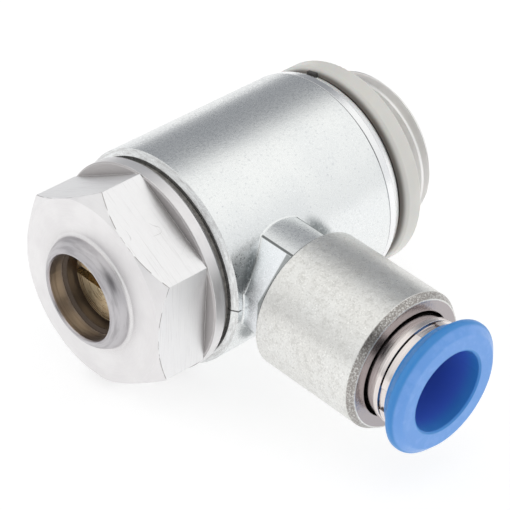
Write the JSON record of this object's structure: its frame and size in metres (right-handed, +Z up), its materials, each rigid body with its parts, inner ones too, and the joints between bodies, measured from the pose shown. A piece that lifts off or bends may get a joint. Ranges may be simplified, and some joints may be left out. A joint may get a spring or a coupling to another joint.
{
  "type": "flow control valve",
  "caption": "One-way flow control valve with a hex-headed hollow bolt, a swivelling body with a push-in tube outlet and a threaded port.",
  "frame": {"origin": "centre of the port sealing face, where the thread starts", "axes": "+X along the main axis out of the threaded port, -Y out of the tube outlet, +Z up with the valve lying on its side"},
  "size_m": [0.0402, 0.0434, 0.0224],
  "materials": {
    "bolt_aluminium": "matte anodised",
    "nipple_aluminium": "satin anodised",
    "body_zinc": "satin chromated die casting",
    "cartridge_nickel": "satin nickel plate",
    "collet_steel": "bright",
    "screw_brass": "turned",
    "seat_brass": "turned",
    "black_rubber": "matte",
    "ring_blue": "satin moulded",
    "seal_cream": "satin moulded",
    "support_white": "moulded"
  },
  "bodies": {
    "bolt": {"hollow_bolt": "bolt_aluminium", "port_nipple": "nipple_aluminium", "port_seal_ring": "seal_cream", "head_gasket": "black_rubber", "port_gasket": "black_rubber", "head_o_ring": "black_rubber", "port_o_ring": "black_rubber", "nipple_o_ring": "black_rubber", "check_support_ring": "support_white", "check_lip_seal": "black_rubber", "throttle_seat": "seat_brass"},
    "swivel": {"swivel_body": "body_zinc", "outlet_cartridge": "cartridge_nickel", "cartridge_o_ring": "black_rubber", "tube_seal": "black_rubber", "seal_support_ring": "support_white"},
    "release": {"release_ring": "ring_blue", "collet": "collet_steel"},
    "screw_carrier": {"screw_o_ring": "black_rubber"},
    "screw": {"regulating_screw": "screw_brass"}
  },
  "joints": [
    {"name": "body_swivel", "type": "hinge", "parent": "bolt", "child": "swivel", "pos_m": [-0.0144, 0, 0], "axis": [1, 0, 0], "continuous": true},
    {"name": "ring_press", "type": "slide", "parent": "swivel", "child": "release", "axis": [0, 1, 0], "range_m": [0, 0.0015], "stiffness_N_per_m": 800},
    {"name": "screw_travel", "type": "slide", "parent": "bolt", "child": "screw_carrier", "axis": [1, 0, 0], "range_m": [-0.00225, 0.0015]},
    {"name": "screw_turn", "type": "hinge", "parent": "screw_carrier", "child": "screw", "pos_m": [-0.0325, 0, 0], "axis": [1, 0, 0], "range_deg": [-1080, 720]}
  ],
  "couplings": [
    {"joint": "screw_turn", "follows": "screw_travel", "rad_per_m": 8377.6}
  ]
}
